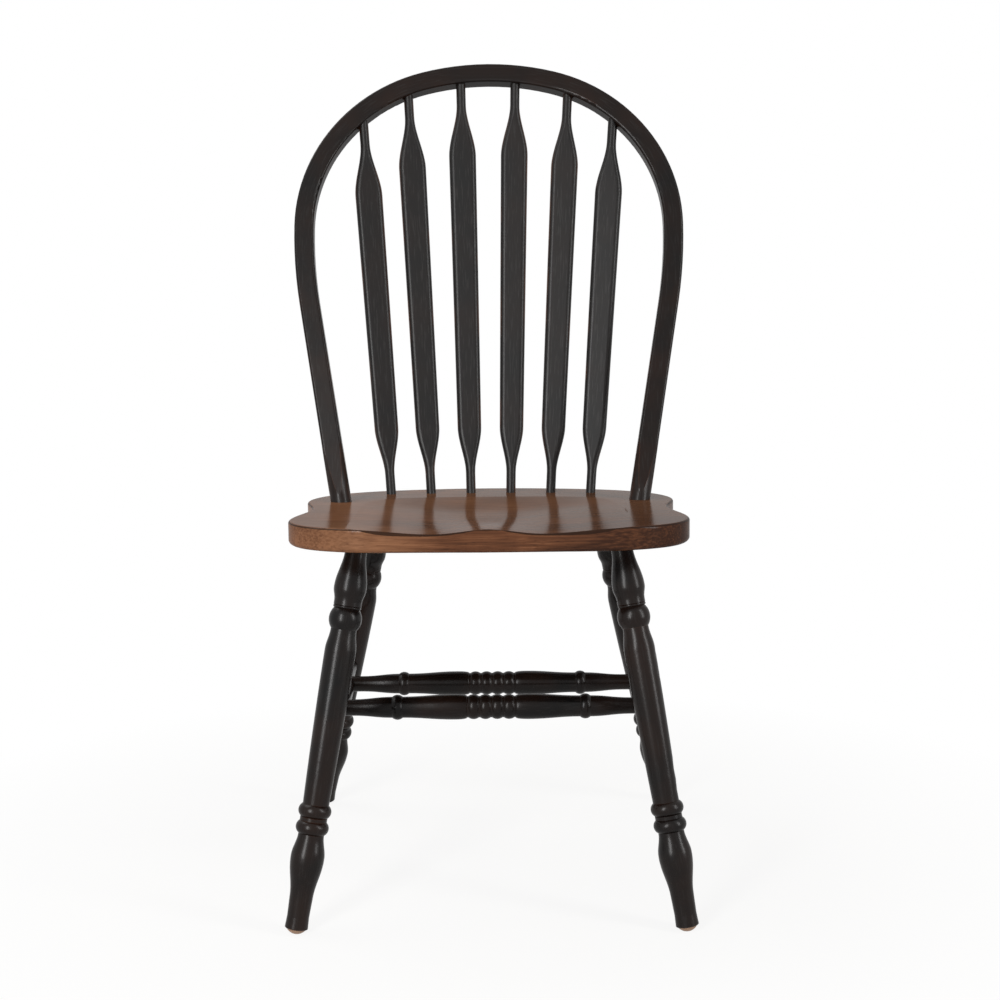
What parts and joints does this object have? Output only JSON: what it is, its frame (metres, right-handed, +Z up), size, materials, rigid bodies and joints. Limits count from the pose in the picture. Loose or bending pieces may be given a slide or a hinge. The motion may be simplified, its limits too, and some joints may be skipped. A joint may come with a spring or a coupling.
{
  "type": "windsor chair",
  "caption": "Bow-back side chair with flat arrow spindles, a saddled plank seat and splayed turned legs joined by side and cross stretchers.",
  "frame": {"origin": "on the floor at the middle of the chair's bounding box", "axes": "+Z up, -Y to the front, where the sitter faces, +X to the viewer's right from the front"},
  "size_m": [0.4994, 0.4874, 1.0015],
  "materials": {
    "brown_stained_wood": "satin lacquer",
    "black_lacquered_wood": "satin lacquer",
    "glide_plastic": "plain",
    "fixing_steel": "plain"
  },
  "bodies": {
    "root": {"seat": "brown_stained_wood", "bow": "black_lacquered_wood", "spindle_1": "black_lacquered_wood", "spindle_2": "black_lacquered_wood", "spindle_3": "black_lacquered_wood", "spindle_4": "black_lacquered_wood", "spindle_5": "black_lacquered_wood", "spindle_6": "black_lacquered_wood", "front_leg_left": "black_lacquered_wood", "front_leg_right": "black_lacquered_wood", "rear_leg_left": "black_lacquered_wood", "rear_leg_right": "black_lacquered_wood", "side_stretcher_left": "black_lacquered_wood", "side_stretcher_right": "black_lacquered_wood", "cross_stretcher_front": "black_lacquered_wood", "cross_stretcher_rear": "black_lacquered_wood", "front_glide_left": "glide_plastic", "front_glide_right": "glide_plastic", "rear_glide_left": "glide_plastic", "rear_glide_right": "glide_plastic", "glide_nails": "fixing_steel", "bow_screws": "fixing_steel"}
  },
  "joints": []
}
